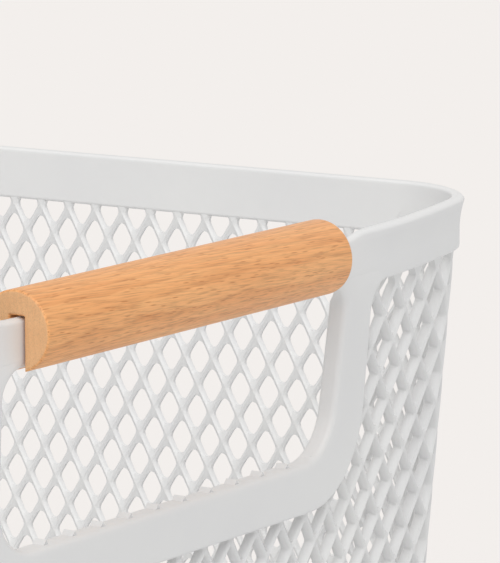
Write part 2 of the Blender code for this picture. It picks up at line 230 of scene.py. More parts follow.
@dataclass(frozen=True)
class OiledBeech(Finish):
    """Turned steamed beech with a light oil, its growth rings standing upright across the grip.

    The sizes of its marks are given across the grip and along it.
    """

    early: str = "f4b577"
    late: str = "e8a163"
    ring_line: str = "d08a50"
    ray: str = "ba7439"
    end_grain: str = "dcb388"
    ring: float = 0.0016
    ring_wobble: float = 0.0035
    wobble_size: tuple[float, float] = (0.008, 0.05)
    band_size: tuple[float, float] = (0.0035, 0.03)
    fibre_size: tuple[float, float] = (0.00032, 0.010)
    ray_size: tuple[float, float] = (0.00048, 0.0050)
    band_share: float = 0.62
    ray_share: float = 0.8
    end_share: float = 0.6
    grain_tilt_degrees: float = 2.5
    roughness: float = 0.46
    roughness_swing: float = 0.06
    ior: float = 1.5
    relief: float = 0.00005
    relief_strength: float = 0.35

    def stretched(
        self, tree: bpy.types.NodeTree, place: bpy.types.NodeSocket, size: tuple[float, float]
    ) -> bpy.types.NodeSocket:
        """Object coordinates in which a texture's cell lies along the grain.

        Args:
            tree: The material's tree.
            place: The object coordinates.
            size: The cell's real width across the grip and its length along it.

        Returns:
            The coordinates, turned and scaled.
        """
        tilt = math.radians(self.grain_tilt_degrees)
        turned = add_node(tree, "ShaderNodeMapping", {"Vector": place, "Rotation": (tilt, 0.0, tilt)})
        scale = (1 / size[0], 1 / size[1], 1 / size[0])
        return add_node(tree, "ShaderNodeMapping", {"Vector": turned.outputs[0], "Scale": scale}).outputs[0]

    def rings(self, tree: bpy.types.NodeTree, place: bpy.types.NodeSocket) -> bpy.types.NodeSocket:
        """Growth rings as upright planes across the grip: bands on its top and stripes on its ends.

        Args:
            tree: The material's tree.
            place: The object coordinates.

        Returns:
            Their colour.
        """
        parts = add_node(tree, "ShaderNodeSeparateXYZ", {0: place})
        wander = {"Vector": self.stretched(tree, place, self.wobble_size), "Scale": 1.0, "Detail": 3.0}
        wobble = add_node(tree, "ShaderNodeTexNoise", wander)
        amount = {0: wobble.outputs[0], 1: self.ring_wobble}
        shift = add_node(tree, "ShaderNodeMath", amount, operation="MULTIPLY")
        across = add_node(tree, "ShaderNodeMath", {0: parts.outputs[0], 1: shift.outputs[0]}, operation="ADD")
        count = add_node(tree, "ShaderNodeMath", {0: across.outputs[0], 1: self.ring}, operation="DIVIDE")
        ring = add_node(tree, "ShaderNodeMath", {0: count.outputs[0], 1: 1.0}, operation="FLOORED_MODULO")
        early, late, line = linear(self.early), linear(self.late), linear(self.ring_line)
        stops = ((0.0, early), (0.62, late), (0.9, line), (1.0, early))
        return add_node(tree, "ShaderNodeValToRGB", {0: ring.outputs[0]}, stops).outputs[0]

    def rays(self, tree: bpy.types.NodeTree, place: bpy.types.NodeSocket) -> bpy.types.NodeSocket:
        """Beech's rays: short dark dashes, the mark that tells beech from other pale woods.

        Args:
            tree: The material's tree.
            place: The object coordinates.

        Returns:
            How strong a ray is at each place.
        """
        grain = {"Vector": self.stretched(tree, place, self.ray_size), "Scale": 1.0}
        cells = add_node(tree, "ShaderNodeTexVoronoi", grain)
        edge = ((0.16, grey(1.0)), (0.34, grey(0.0)))
        dash = add_node(tree, "ShaderNodeValToRGB", {0: cells.outputs["Distance"]}, edge)
        pick = add_node(tree, "ShaderNodeSeparateColor", {0: cells.outputs["Color"]})
        some = ((0.2, grey(0.0)), (0.85, grey(self.ray_share)))
        strong = add_node(tree, "ShaderNodeValToRGB", {0: pick.outputs[0]}, some)
        both = {0: dash.outputs[0], 1: strong.outputs[0]}
        return add_node(tree, "ShaderNodeMath", both, operation="MULTIPLY").outputs[0]

    def build(self) -> bpy.types.Material:
        """Makes the wood: warm bands, a silky fibre, short dark rays and paler end grain.

        Returns:
            The material.
        """
        made, tree, shader = self.start()
        coords = add_node(tree, "ShaderNodeTexCoord")
        place = coords.outputs["Object"]
        # Broad warm and pale bands run through the rings, as in a board that was steamed.
        wide = {"Vector": self.stretched(tree, place, self.band_size), "Scale": 1.0, "Detail": 2.0}
        broad = add_node(tree, "ShaderNodeTexNoise", wide)
        stops = ((0.3, linear(self.late)), (0.7, linear(self.early)))
        warm = add_node(tree, "ShaderNodeValToRGB", {0: broad.outputs[0]}, stops)
        blend = {0: self.band_share, 6: self.rings(tree, place), 7: warm.outputs[0]}
        mixed = add_node(tree, "ShaderNodeMix", blend, data_type="RGBA")
        # The fibre's silk: streaks of light and shade along the grip, drawn coarser than real fibres,
        # which are finer than a pixel.
        thin = {"Vector": self.stretched(tree, place, self.fibre_size), "Scale": 1.0, "Detail": 3.0}
        fibre = add_node(tree, "ShaderNodeTexNoise", thin)
        stops = ((0.3, grey(0.72)), (0.5, grey(0.97)), (0.7, grey(1.08)))
        streak = add_node(tree, "ShaderNodeValToRGB", {0: fibre.outputs[0]}, stops)
        blend = {0: 1.0, 6: mixed.outputs[2], 7: streak.outputs[0]}
        silk = add_node(tree, "ShaderNodeMix", blend, data_type="RGBA", blend_type="MULTIPLY")
        rays = self.rays(tree, place)
        blend = {0: rays, 6: silk.outputs[2], 7: linear(self.ray)}
        marked = add_node(tree, "ShaderNodeMix", blend, data_type="RGBA")
        # End grain scatters the light between its cut fibres, so the sawn ends look paler and duller.
        facing = add_node(tree, "ShaderNodeSeparateXYZ", {0: coords.outputs["Normal"]})
        flat = add_node(tree, "ShaderNodeMath", {0: facing.outputs[1]}, operation="ABSOLUTE")
        stops = ((0.86, grey(0.0)), (0.97, grey(1.0)))
        ends = add_node(tree, "ShaderNodeValToRGB", {0: flat.outputs[0]}, stops)
        blend = {0: self.end_share, 6: marked.outputs[2], 7: linear(self.end_grain)}
        pale = add_node(tree, "ShaderNodeMix", blend, data_type="RGBA")
        blend = {0: ends.outputs[0], 6: marked.outputs[2], 7: pale.outputs[2]}
        colour = add_node(tree, "ShaderNodeMix", blend, data_type="RGBA")
        tree.links.new(colour.outputs[2], shader.inputs["Base Color"])
        depth = add_node(tree, "ShaderNodeMath", {0: fibre.outputs[0], 1: rays}, operation="SUBTRACT")
        relief = {"Strength": self.relief_strength, "Distance": self.relief, "Height": depth.outputs[0]}
        bump = add_node(tree, "ShaderNodeBump", relief)
        tree.links.new(bump.outputs[0], shader.inputs["Normal"])
        low, high = self.roughness - self.roughness_swing, self.roughness + self.roughness_swing
        gloss = add_node(tree, "ShaderNodeMapRange", {0: broad.outputs[0], 3: low, 4: high})
        tree.links.new(gloss.outputs[0], shader.inputs["Roughness"])
        shader.inputs["IOR"].default_value = self.ior
        return made


@dataclass(frozen=True)
class ZincPlatedSteel(Finish):
    """Cold-headed steel with a bright zinc plating: a cool grey metal."""

    colour: str = "c9cac8"
    dull: str = "b4b5b3"
    roughness_range: tuple[float, float] = (0.22, 0.4)
    grain: float = 0.0007

    def build(self) -> bpy.types.Material:
        """Makes the plated steel.

        Returns:
            The material.
        """
        made, tree, shader = self.start()
        place = add_node(tree, "ShaderNodeTexCoord").outputs["Object"]
        # The plating's uneven crystals give small dull and bright patches.
        spangle = {"Vector": place, "Scale": 1 / self.grain, "Detail": 3.0}
        patch = add_node(tree, "ShaderNodeTexNoise", spangle)
        stops = ((0.3, linear(self.dull)), (0.7, linear(self.colour)))
        tone = add_node(tree, "ShaderNodeValToRGB", {0: patch.outputs[0]}, stops)
        tree.links.new(tone.outputs[0], shader.inputs["Base Color"])
        low, high = self.roughness_range
        gloss = add_node(tree, "ShaderNodeMapRange", {0: patch.outputs[0], 3: low, 4: high})
        tree.links.new(gloss.outputs[0], shader.inputs["Roughness"])
        shader.inputs["Metallic"].default_value = 1.0
        return made


@dataclass(frozen=True)
class BasketShape:
    """The basket's plan and section, which all of the moulding's pieces follow.

    The way round is counted in stations: half a mesh column each, from the middle of the right end,
    over the corner to the middle of the back, and on round. A quarter has end, corner and side
    stations, and the four quarters mirror each other.

    An end wall is flat as far as end_flat from its middle, then bows back by end_bow up to the corner.
    Its columns are end_step wide up to the station end_even and widen with end_growth after it. The
    corner's radius loses corner_loss times what the draft sets the wall in, down to corner_least. The
    flat walls' stations stop arc_gap short of the corner's arc, and blend_run is the height in which
    the walls draw in to the rim band's thickness.
    """

    length: float
    width: float
    height: float
    end_bow: float = 0.0160
    side_bow: float = 0.0004
    end_flat: float = 0.050
    corner_radius: float = 0.0295
    corner_least: float = 0.002
    corner_loss: float = 1.25
    draft: float = 0.088
    wall: float = 0.0038
    band_height: float = 0.0137
    band_proud: float = 0.0013
    band_wall: float = 0.0020
    opening_half: float = 0.0694
    end_stations: int = 23
    corner_stations: int = 8
    side_stations: int = 36
    end_step: float = 0.00569
    end_even: int = 14
    end_growth: float = 0.000121
    side_step: float = 0.004465
    blend_run: float = 0.0035
    arc_gap: float = 0.000475
    solver_rounds: int = 20

    @classmethod
    def from_frame(cls, flare: float) -> "BasketShape":
        """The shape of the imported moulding.

        Args:
            flare: How far the rim's long sides lean out past the width.

        Returns:
            The shape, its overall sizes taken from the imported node.
        """
        _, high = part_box(MOULDING)
        return cls(length=2 * high.x, width=2 * (high.y - flare), height=high.z)

    @property
    def quarter(self) -> int:
        """Stations in a quarter of the way round."""
        return self.end_stations + self.corner_stations + self.side_stations

    @property
    def band_bottom(self) -> float:
        """Height of the rim band's lower edge."""
        return self.height - self.band_height

    @property
    def inner(self) -> float:
        """Depth of the wall's inner face behind the band's face."""
        return self.band_proud + self.wall

    @property
    def band_inner(self) -> float:
        """Depth of the band's inner face, which is thinner than the frames."""
        return self.band_proud + self.band_wall

    def from_end(self, station: np.ndarray) -> np.ndarray:
        """Stations between a place and the middle of the nearer end."""
        local = np.mod(station, 2 * self.quarter)
        return np.minimum(local, 2 * self.quarter - local)

    def depth_share(self, height: np.ndarray) -> np.ndarray:
        """How far the walls' thickness has drawn in to the band's at a height."""
        return eased((height - self.band_bottom + self.blend_run) / self.blend_run)

    def end_place(self, station: np.ndarray) -> np.ndarray:
        """Distance of an end wall's station from its middle: the columns widen towards the corner."""
        return self.end_step * station + self.end_growth * np.maximum(station - self.end_even, 0) ** 2

    def wall_face(self, height: np.ndarray) -> np.ndarray:
        """How far the draft has set the wall in at a height."""
        return self.draft * (self.band_bottom - height)

    def end_curve(self, y: np.ndarray) -> tuple[np.ndarray, np.ndarray]:
        """Set-back and slope of an end wall at a distance from its middle."""
        past = np.maximum(np.abs(y) - self.end_flat, 0.0) / (self.width / 2 - self.end_flat)
        return self.end_bow * past**2, 2 * self.end_bow * past / (self.width / 2 - self.end_flat)

    def side_curve(self, x: np.ndarray) -> tuple[np.ndarray, np.ndarray]:
        """Set-back and slope of a side wall at a distance from its middle."""
        past = np.abs(x) / (self.length / 2)
        return self.side_bow * past**2, 2 * self.side_bow * past / (self.length / 2)

    def corner(self, depth: np.ndarray, face: np.ndarray) -> dict[str, np.ndarray]:
        """The corner arc of a ring.

        Args:
            depth: How deep the ring lies behind a face.
            face: How far that face is itself set in.

        Returns:
            The ring's half sizes and the arc's radius, centre, start, end and angles.
        """
        radius = np.maximum(self.corner_radius - self.corner_loss * face - depth, self.corner_least)
        half_x = self.length / 2 - face - depth
        half_y = self.width / 2 - face - depth
        touch_x, touch_y = half_x - radius, half_y - radius
        for _ in range(self.solver_rounds):
            end_back, end_slope = self.end_curve(touch_y)
            side_back, side_slope = self.side_curve(touch_x)
            end_angle, side_angle = np.arctan(end_slope), np.arctan(side_slope)
            centre_x = half_x - end_back - radius * np.cos(end_angle)
            centre_y = half_y - side_back - radius * np.cos(side_angle)
            touch_x = centre_x + radius * np.sin(side_angle)
            touch_y = centre_y + radius * np.sin(end_angle)
        start_y = np.minimum(self.end_place(self.end_stations), touch_y - self.arc_gap)
        stop_x = np.minimum(self.side_stations * self.side_step, touch_x - self.arc_gap)
        lean = 1 / np.cos(end_angle)
        end_run = (touch_y - start_y) * lean
        arc_run = radius * (math.pi / 2 - side_angle - end_angle)
        side_run = touch_x - stop_x
        return {
            "half_x": half_x, "half_y": half_y, "radius": radius, "centre_x": centre_x, "centre_y": centre_y,
            "end_angle": end_angle, "touch_x": touch_x, "start_y": start_y, "stop_x": stop_x, "lean": lean,
            "end_run": end_run, "arc_run": arc_run, "total": end_run + arc_run + side_run,
        }

    def place(
        self, station: np.ndarray, depth: np.ndarray, face: np.ndarray
    ) -> tuple[np.ndarray, np.ndarray]:
        """Where stations lie on rings, and which way is outwards there.

        Args:
            station: How far round, in stations.
            depth: How deep each lies behind a face.
            face: How far that face is itself set in.

        Returns:
            The places in X and Y, and the outward directions, both with a last axis of two.
        """
        station, depth, face = np.broadcast_arrays(
            np.asarray(station, float), np.asarray(depth, float), np.asarray(face, float)
        )
        turn = np.mod(station, 4 * self.quarter)
        sector = np.floor(turn / self.quarter)
        local = np.where(sector % 2 == 0, turn - sector * self.quarter, (sector + 1) * self.quarter - turn)
        bend = self.corner(depth, face)
        share = (local - self.end_stations) / self.corner_stations
        along = share * bend["total"]
        end_y = np.where(
            share < 0,
            self.end_place(local) / self.end_place(self.end_stations) * bend["start_y"],
            bend["start_y"] + along / bend["lean"],
        )
        end_back, end_slope = self.end_curve(end_y)
        end_turn = np.arctan(end_slope)
        arc_turn = bend["end_angle"] + (along - bend["end_run"]) / bend["radius"]
        past = along - bend["end_run"] - bend["arc_run"]
        side_x = np.where(
            share > 1,
            (self.quarter - local) / self.side_stations * bend["stop_x"],
            bend["touch_x"] - past,
        )
        side_back, side_slope = self.side_curve(side_x)
        side_turn = math.pi / 2 - np.arctan(side_slope)
        on_end = along < bend["end_run"]
        on_side = past > 0
        arc_x = bend["centre_x"] + bend["radius"] * np.cos(arc_turn)
        arc_y = bend["centre_y"] + bend["radius"] * np.sin(arc_turn)
        x = np.where(on_end, bend["half_x"] - end_back, np.where(on_side, side_x, arc_x))
        y = np.where(on_end, end_y, np.where(on_side, bend["half_y"] - side_back, arc_y))
        angle = np.where(on_end, end_turn, np.where(on_side, side_turn, arc_turn))
        sign_x = np.where((sector == 0) | (sector == 3), 1.0, -1.0)
        sign_y = np.where(sector < 2, 1.0, -1.0)
        spot = np.stack((x * sign_x, y * sign_y), axis=-1)
        out = np.stack((np.cos(angle) * sign_x, np.sin(angle) * sign_y), axis=-1)
        return spot, out

    def column_width(self, station: np.ndarray, height: np.ndarray) -> np.ndarray:
        """Real width of stations.

        Args:
            station: How far round, in stations.
            height: Their heights.

        Returns:
            The widths.
        """
        local = self.from_end(station)
        face = self.wall_face(height)
        corner = self.corner(np.full_like(face, self.band_proud), face)["total"] / self.corner_stations
        end_width = self.end_step + 2 * self.end_growth * np.maximum(local - self.end_even, 0)
        plain = np.where(local <= self.end_stations, end_width, self.side_step)
        inside = (local > self.end_stations) & (local < self.end_stations + self.corner_stations)
        return np.where(inside, corner, plain)


def make_mesh(name: str, points: np.ndarray, faces: Sequence[Sequence[int]]) -> bpy.types.Mesh:
    """A closed mesh with its faces outwards and its round parts smooth.

    Args:
        name: The mesh's name.
        points: Places, one row each.
        faces: Corner numbers of each face.

    Returns:
        The mesh.
    """
    mesh = bpy.data.meshes.new(name)
    mesh.from_pydata([tuple(point) for point in points], [], [tuple(face) for face in faces])
    shape = bmesh.new()
    shape.from_mesh(mesh)
    bmesh.ops.remove_doubles(shape, verts=shape.verts, dist=WELD_DISTANCE)
    bmesh.ops.recalc_face_normals(shape, faces=shape.faces)
    shape.to_mesh(mesh)
    shape.free()
    mesh.shade_smooth()
    mesh.set_sharp_from_angle(angle=math.radians(SMOOTH_DEGREES))
    return mesh


def loft(name: str, rings: np.ndarray, closed: bool) -> bpy.types.Mesh:
    """A closed mesh through rings of points.

    Args:
        name: The mesh's name.
        rings: Rings by points by three.
        closed: True if the last ring joins the first, False if both end in a cap.

    Returns:
        The mesh.
    """
    count, size = rings.shape[:2]
    faces = []
    for low in range(count if closed else count - 1):
        high = (low + 1) % count
        for index in range(size):
            after = (index + 1) % size
            faces.append((low * size + index, low * size + after, high * size + after, high * size + index))
    if not closed:
        faces.append(tuple(range(size)))
        faces.append(tuple(range((count - 1) * size, count * size)))
    return make_mesh(name, rings.reshape(-1, 3), faces)


def add_piece(
    name: str,
    mesh: bpy.types.Mesh,
    material: bpy.types.Material,
    node: str = MOULDING,
) -> bpy.types.Object:
    """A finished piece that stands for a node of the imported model.

    Args:
        name: The piece's name.
        mesh: Its mesh, in place.
        material: Its finish.
        node: The node that it replaces.

    Returns:
        The object.
    """
    mesh.materials.clear()
    mesh.materials.append(material)
    made = link_object(name, mesh)
    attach(made, BODY)
    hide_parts(node)
    LOG.info("%s: %d faces", name, len(mesh.polygons))
    return made


@dataclass
class RimBand:
    """The smooth band round the top, with its lip, its flare and its rounded rim.

    Away from the ends' middles the rim leans out by flare over the top flare_height. Between the grips'
    ends, where the band is the bar that carries a grip, it lies bar_dip lower instead, and its lower
    edge is tucked up behind the opening's frame.
    """

    shape: BasketShape
    lip: float = 0.0008
    shoulder: float = 0.0013
    inner_edge: float = 0.0007
    crown: float = 0.00025
    under_edge: float = 0.0003
    hold: float = 0.0005
    flare: float = 0.0012
    flare_height: float = 0.0090
    flare_run: float = 0.030
    bar_dip: float = 0.0012
    bar_dip_run: float = 0.009
    frame_reach: float = 0.0903
    tuck_run: float = 0.005
    tuck: float = 0.0023
    crown_share: float = 0.42
    crown_lean: float = 0.5
    shoulder_lean: float = 0.75
    arc_steps: int = 5
    flare_steps: int = 6

    def stations(self) -> np.ndarray:
        """Stations of the band's points: closer on the bars and in the corners.

        Returns:
            The stations, once all the way round.
        """
        shape = self.shape
        ends = np.arange(0, shape.end_stations, 0.5)
        corner = shape.end_stations + np.arange(0, shape.corner_stations, 0.25)
        side = np.arange(shape.end_stations + shape.corner_stations, shape.quarter, 1.0)
        quarter = np.concatenate((ends, corner, side))
        half = np.concatenate((quarter, [shape.quarter], 2 * shape.quarter - quarter[:0:-1]))
        return np.concatenate((half, half + 2 * shape.quarter))

    def section(self) -> list[tuple[float, float, float, float, float]]:
        """The band's section, from under its lip, up its face, over the rim and down its inside.

        Returns:
            Depth, height, share of the flare, share of the bar's dip and share of the tuck.
        """
        shape = self.shape
        low, top, inner = shape.band_bottom, shape.height, shape.band_inner
        bend = quarter_turn(self.arc_steps)
        points = [(inner - self.under_edge, low, 0.0, 0.0, 1.0)]
        for sine, cosine in bend:
            points.append((self.lip * (1 - sine), low + self.lip * (1 - cosine), 0.0, 0.0, 1.0))
        start, end = top - self.flare_height, top - self.shoulder
        for step in range(self.flare_steps + 1):
            share = step / self.flare_steps
            points.append((0.0, start + (end - start) * share, share**2, 1.0, 0.0))
        for step, (sine, cosine) in enumerate(bend[1:], 1):
            lean = 1.0 - (1.0 - self.shoulder_lean) * step / self.arc_steps
            height = end + (self.shoulder - self.crown) * sine
            points.append((self.shoulder * (1 - cosine), height, lean, 1.0, 0.0))
        points.append((inner * self.crown_share, top, self.crown_lean, 1.0, 0.0))
        for sine, cosine in bend:
            depth = inner - self.inner_edge * (1 - sine)
            points.append((depth, top - self.crown - self.inner_edge * (1 - cosine), 0.0, 1.0, 0.0))
        # Close rings beside each small rounding keep the tall flat face evenly shaded.
        points.append((inner, top - self.crown - self.inner_edge - self.hold, 0.0, 1.0, 0.0))
        points.append((inner, start, 0.0, 1.0, 0.0))
        points.append((inner, low + self.under_edge + self.hold, 0.0, 0.0, 1.0))
        points.append((inner, low + self.under_edge, 0.0, 0.0, 1.0))
        return points

    def build(self, material: bpy.types.Material) -> bpy.types.Object:
        """The band as one piece.

        Args:
            material: The moulding's plastic.

        Returns:
            The piece.
        """
        shape = self.shape
        station = self.stations()
        middle, _ = shape.place(station, 0.0, 0.0)
        on_end = np.abs(middle[:, 0]) > shape.length / 2 - shape.end_bow
        across = np.where(on_end, np.abs(middle[:, 1]), shape.width)
        flared = eased((across - shape.opening_half) / self.flare_run)
        past = eased((across - shape.opening_half) / self.bar_dip_run)
        tucked = eased((self.frame_reach - across) / self.tuck_run)
        rings = []
        for depth, height, lean, dip, tuck in self.section():
            face = shape.wall_face(height) if depth > shape.band_inner / 2 else 0.0
            spot, _ = shape.place(station, depth - self.flare * lean * flared, face)
            level = height - self.bar_dip * dip * (1 - past) + self.tuck * tuck * tucked
            rings.append(np.column_stack((spot, level)))
        mesh = loft("rim_band", np.array(rings), True)
        return add_piece("rim_band", mesh, material)


def arc(centre: tuple[float, float], radius: float, start: float, end: float, steps: int) -> np.ndarray:
    """Points on an arc.

    Args:
        centre: The arc's centre.
        radius: Its radius.
        start: Where it starts, in degrees.
        end: Where it ends, in degrees.
        steps: How many steps it takes.

    Returns:
        The points, one row each, both ends among them.
    """
    turn = np.radians(np.linspace(start, end, steps + 1))
    return np.column_stack((centre[0] + radius * np.cos(turn), centre[1] + radius * np.sin(turn)))


def join_runs(runs: Sequence[np.ndarray], counts: Sequence[int]) -> np.ndarray:
    """A closed outline of arcs and the straight runs between them.

    Args:
        runs: The arcs, in order.
        counts: How many steps the straight run after each arc takes: along the bottom, up a side,
            along the top and down a side.

    Returns:
        The outline's points.
    """
    points = []
    for index, run in enumerate(runs):
        after = runs[(index + 1) % len(runs)]
        points.append(run)
        share = np.linspace(0, 1, counts[index] + 1)[1:-1, None]
        points.append(run[-1] * (1 - share) + after[0] * share)
    return np.concatenate(points)


@dataclass
class OpeningFrame:
    """The smooth frame round a finger opening, flush with the rim band.

    The opening narrows by taper towards its bottom and starts drop below the rim. The frame is side and
    bottom wide, joins the band with a fillet on each side, and reaches tuck_height up behind it.
    """

    shape: BasketShape
    taper: float = 0.0014
    drop: float = 0.0123
    opening_height: float = 0.0416
    radius: float = 0.0125
    top_radius: float = 0.006
    side: float = 0.0139
    bottom: float = 0.0127
    frame_radius: float = 0.0225
    fillet: float = 0.007
    front_round: float = 0.0016
    back_round: float = 0.0009
    lip: float = 0.0008
    back_edge: float = 0.0003
    hold: float = 0.0005
    tuck_height: float = 0.0062
    flush_gap: float = 0.00003
    arc_steps: int = 12
    round_steps: int = 5
    web_steps: int = 3
    straights: tuple[int, int, int, int] = (28, 8, 28, 8)

    @property
    def low(self) -> float:
        """Height of the opening's lower edge."""
        return self.shape.height - self.drop - self.opening_height

    @property
    def high(self) -> float:
        """Height of the opening's upper edge."""
        return self.shape.height - self.drop

    @property
    def half(self) -> float:
        """Half width of the frame."""
        return self.shape.opening_half + self.side

    def opening(self, grow: float) -> np.ndarray:
        """The finger opening's outline in Y and Z.

        Args:
            grow: The distance by which it is grown.

        Returns:
            Its points.
        """
        side = self.shape.opening_half - self.taper - self.radius
        top_side = self.shape.opening_half - self.top_radius
        low, high = self.low + self.radius, self.high - self.top_radius
        wide, small, steps = self.radius + grow, self.top_radius + grow, self.arc_steps
        runs = [
            arc((-side, low), wide, 180, 270, steps),
            arc((side, low), wide, 270, 360, steps),
            arc((top_side, high), small, 0, 90, steps),
            arc((-top_side, high), small, 90, 180, steps),
        ]
        return join_runs(runs, self.straights)

    def outside(self, shrink: float) -> np.ndarray:
        """The frame's outline in Y and Z, with its fillets under the band.

        Args:
            shrink: The distance by which it is shrunk.

        Returns:
            Its points.
        """
        side = self.half - self.frame_radius
        low = self.low - self.bottom + self.frame_radius
        fillet = self.shape.band_bottom - self.fillet
        round_radius, out_radius, steps = self.frame_radius - shrink, self.fillet + shrink, self.arc_steps
        tip = np.array([[self.half + self.fillet - shrink, self.shape.band_bottom + self.tuck_height]])
        right = arc((self.half + self.fillet, fillet), out_radius, 180, 90, steps - 1)
        left = right[::-1] * (-1, 1)
        runs = [
            arc((-side, low), round_radius, 180, 270, steps),
            arc((side, low), round_radius, 270, 360, steps),
            np.concatenate((right, tip)),
            np.concatenate((tip * (-1, 1), left)),
        ]
        return join_runs(runs, self.straights)

    def covers(self, y: float, z: float, reach_y: float, reach_z: float) -> bool:
        """Whether a whole diamond at a place lies behind the frame.

        Args:
            y: Distance of the diamond's centre from the opening's middle.
            z: Height of the centre.
            reach_y: Half width of a diamond.
            reach_z: Half height of a diamond.

        Returns:
            True where nothing of the diamond would show.
        """
        right = abs(y) - (self.half - self.frame_radius)
        down = self.low - self.bottom + self.frame_radius - z
        if right <= 0 or down <= 0:
            return self.half - abs(y) >= reach_y and z - (self.low - self.bottom) >= reach_z
        turn = math.atan2(down, right)
        reach = max(reach_y * math.cos(turn), reach_z * math.sin(turn))
        return self.frame_radius - math.hypot(right, down) >= reach

    def rings(self) -> np.ndarray:
        """The frame's rings, from the opening's front edge round to its back.

        Returns:
            Rings by points by Y, Z and depth.
        """
        front, back = self.flush_gap, self.shape.inner - self.flush_gap
        bend, rows = quarter_turn(self.round_steps), []

        def add(outline: np.ndarray, depth: float) -> None:
            """Adds a ring at a depth."""
            rows.append(np.column_stack((outline, np.full(len(outline), depth))))

        def add_web(first: np.ndarray, last: np.ndarray, depth: float) -> None:
            """Adds the rings of a flat face between two outlines."""
            for share in np.arange(self.web_steps + 1) / self.web_steps:
                add(first * (1 - share) + last * share, depth)

        for sine, cosine in bend:
            add(self.opening(self.front_round * (1 - cosine)), front + self.front_round * (1 - sine))
        # Close rings beside each rounding keep the flat faces evenly shaded.
        add_web(self.opening(self.front_round + self.hold), self.outside(self.lip + self.hold), front)
        for sine, cosine in bend:
            add(self.outside(self.lip * (1 - sine)), front + self.lip * (1 - cosine))
        add(self.outside(0.0), back - self.back_edge)
        add(self.outside(self.back_edge), back)
        add_web(self.outside(self.back_edge + self.hold), self.opening(self.back_round + self.hold), back)
        for sine, cosine in bend:
            add(self.opening(self.back_round * (1 - sine)), back - self.back_round * (1 - cosine))
        return np.array(rows)

    def build(self, end: End, material: bpy.types.Material) -> bpy.types.Object:
        """The frame of one end.

        Args:
            end: Which end it is on.
            material: The moulding's plastic.

        Returns:
            The piece.
        """
        shape = self.shape
        y, z, depth = np.moveaxis(self.rings(), -1, 0)
        face = shape.wall_face(z)
        set_in = np.maximum(face, 0.0) * (1 - depth / shape.inner) + face * depth / shape.inner
        thin = 1 - shape.depth_share(z) * (1 - shape.band_inner / shape.inner)
        x = shape.length / 2 - shape.end_curve(y)[0] - set_in - depth * thin
        name = f"opening_frame_{end.name.lower()}"
        mesh = loft(name, np.stack((end.value * x, end.value * y, z), axis=-1), True)
        return add_piece(name, mesh, material)


class MeshTree:
    """The Geometry Nodes tree that sets a diamond on each point of a wall's flat pattern."""

    def __init__(self) -> None:
        """Builds the tree with its named inputs."""
        tree = bpy.data.node_groups.new("diamond mesh wall", "GeometryNodeTree")
        sockets = tree.interface
        sockets.new_socket("Geometry", in_out="OUTPUT", socket_type="NodeSocketGeometry")
        sockets.new_socket("Geometry", in_out="INPUT", socket_type="NodeSocketGeometry")
        self.inputs = {}
        for name, kind in (
            ("Half pitch", "NodeSocketFloat"),
            ("Half rise", "NodeSocketFloat"),
            ("Wall", "NodeSocketFloat"),
            ("Open diamond", "NodeSocketObject"),
            ("Blank diamond", "NodeSocketObject"),
            ("Plastic", "NodeSocketMaterial"),
        ):
            socket = sockets.new_socket(name, in_out="INPUT", socket_type=kind)
            self.inputs[name] = socket.identifier
        given = add_node(tree, "NodeGroupInput").outputs
        pitch = {"X": given["Half pitch"], "Y": given["Half rise"], "Z": given["Wall"]}
        grid = add_node(tree, "ShaderNodeCombineXYZ", pitch)
        here = add_node(tree, "GeometryNodeInputPosition")
        scaled = {0: here.outputs[0], 1: grid.outputs[0]}
        spread = add_node(tree, "ShaderNodeVectorMath", scaled, operation="MULTIPLY")
        moved = {"Geometry": given["Geometry"], "Position": spread.outputs[0]}
        points = add_node(tree, "GeometryNodeSetPosition", moved)
        is_open = add_node(tree, "GeometryNodeInputNamedAttribute", {"Name": "open"}, data_type="BOOLEAN")
        is_blank = add_node(tree, "FunctionNodeBooleanMath", {0: is_open.outputs[0]}, operation="NOT")
        joined = add_node(tree, "GeometryNodeJoinGeometry")
        for name, choice in (("Open diamond", is_open), ("Blank diamond", is_blank)):
            cell = add_node(tree, "GeometryNodeObjectInfo", {"Object": given[name]})
            laid = {
                "Points": points.outputs[0],
                "Selection": choice.outputs[0],
                "Instance": cell.outputs["Geometry"],
                "Scale": grid.outputs[0],
            }
            copies = add_node(tree, "GeometryNodeInstanceOnPoints", laid)
            tree.links.new(copies.outputs[0], joined.inputs[0])
        real = add_node(tree, "GeometryNodeRealizeInstances", {"Geometry": joined.outputs[0]})
        welded = {"Geometry": real.outputs[0], "Distance": WELD_DISTANCE}
        merged = add_node(tree, "GeometryNodeMergeByDistance", welded)
        finish = {"Geometry": merged.outputs[0], "Material": given["Plastic"]}
        dressed = add_node(tree, "GeometryNodeSetMaterial", finish)
        add_node(tree, "NodeGroupOutput", {0: dressed.outputs[0]})
        self.tree = tree

    def evaluate(self, points: bpy.types.Mesh, values: dict[str, object]) -> bpy.types.Mesh:
        """Runs the tree on a mesh of points.

        Args:
            points: The points, with a boolean attribute "open".
            values: The tree's inputs by name.

        Returns:
            The result as a plain mesh.
        """
        holder = link_object("mesh wall points", points)
        modifier = holder.modifiers.new("diamond mesh", "NODES")
        modifier.node_group = self.tree
        for name, value in values.items():
            modifier[self.inputs[name]] = value
        made = evaluated_mesh(holder)
        holder.modifiers.remove(modifier)
        bpy.data.objects.remove(holder)
        return made


@dataclass(frozen=True)
class MeshGauge:
    """One kind of wall: its thickness, its strands' width and what its openings are rounded to."""

    wall: float
    strand: float
    rounding: float


